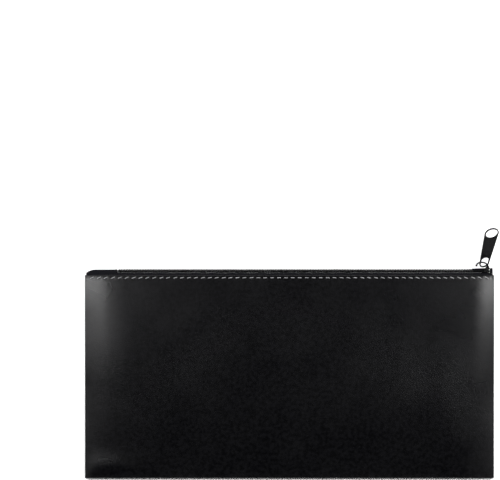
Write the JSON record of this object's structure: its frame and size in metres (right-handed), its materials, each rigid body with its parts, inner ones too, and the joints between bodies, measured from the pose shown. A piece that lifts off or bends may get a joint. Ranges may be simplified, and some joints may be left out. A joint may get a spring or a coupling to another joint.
{
  "type": "cash deposit bag",
  "caption": "Flat zipped deposit bag of soft synthetic leather, sewn on three sides, with a coil zip along the top and a tab puller with a round eye.",
  "frame": {"origin": "middle of the back panel's flat outer face, on which the bag lies", "axes": "+X along the zip from its bottom stop to its top stops, +Y from the bottom seam to the zip, +Z out of the front panel"},
  "size_m": [0.283, 0.1714, 0.0303],
  "materials": {
    "pu_leather": "satin fine grain",
    "zip_tape_cloth": "matt woven",
    "zip_coil": "satin",
    "zip_cord": "matt",
    "zip_thread": "matt",
    "zip_stop": "satin",
    "sewing_thread": "matt",
    "slider_enamel": "semi-gloss"
  },
  "bodies": {
    "bag": {"front_panel": "pu_leather", "back_panel": "pu_leather", "front_zip_tape": "zip_tape_cloth", "back_zip_tape": "zip_tape_cloth", "front_coil": "zip_coil", "back_coil": "zip_coil", "front_coil_cord": "zip_cord", "back_coil_cord": "zip_cord", "front_coil_thread": "zip_thread", "back_coil_thread": "zip_thread", "front_top_stop": "zip_stop", "back_top_stop": "zip_stop", "bottom_stop": "zip_stop", "front_topstitch": "sewing_thread", "back_topstitch": "sewing_thread", "left_seam_thread": "sewing_thread", "right_seam_thread": "sewing_thread", "bottom_seam_thread": "sewing_thread"},
    "slider": {"slider_body": "slider_enamel"},
    "tab": {"puller": "slider_enamel"}
  },
  "joints": [
    {"name": "zip_travel", "type": "slide", "parent": "bag", "child": "slider", "axis": [-1, 0, 0], "range_m": [0, 0.242]},
    {"name": "puller_swing", "type": "hinge", "parent": "slider", "child": "tab", "pos_m": [0.1325, 0.076, 0.00585], "axis": [0, 0, 1], "range_deg": [0, 80]}
  ]
}
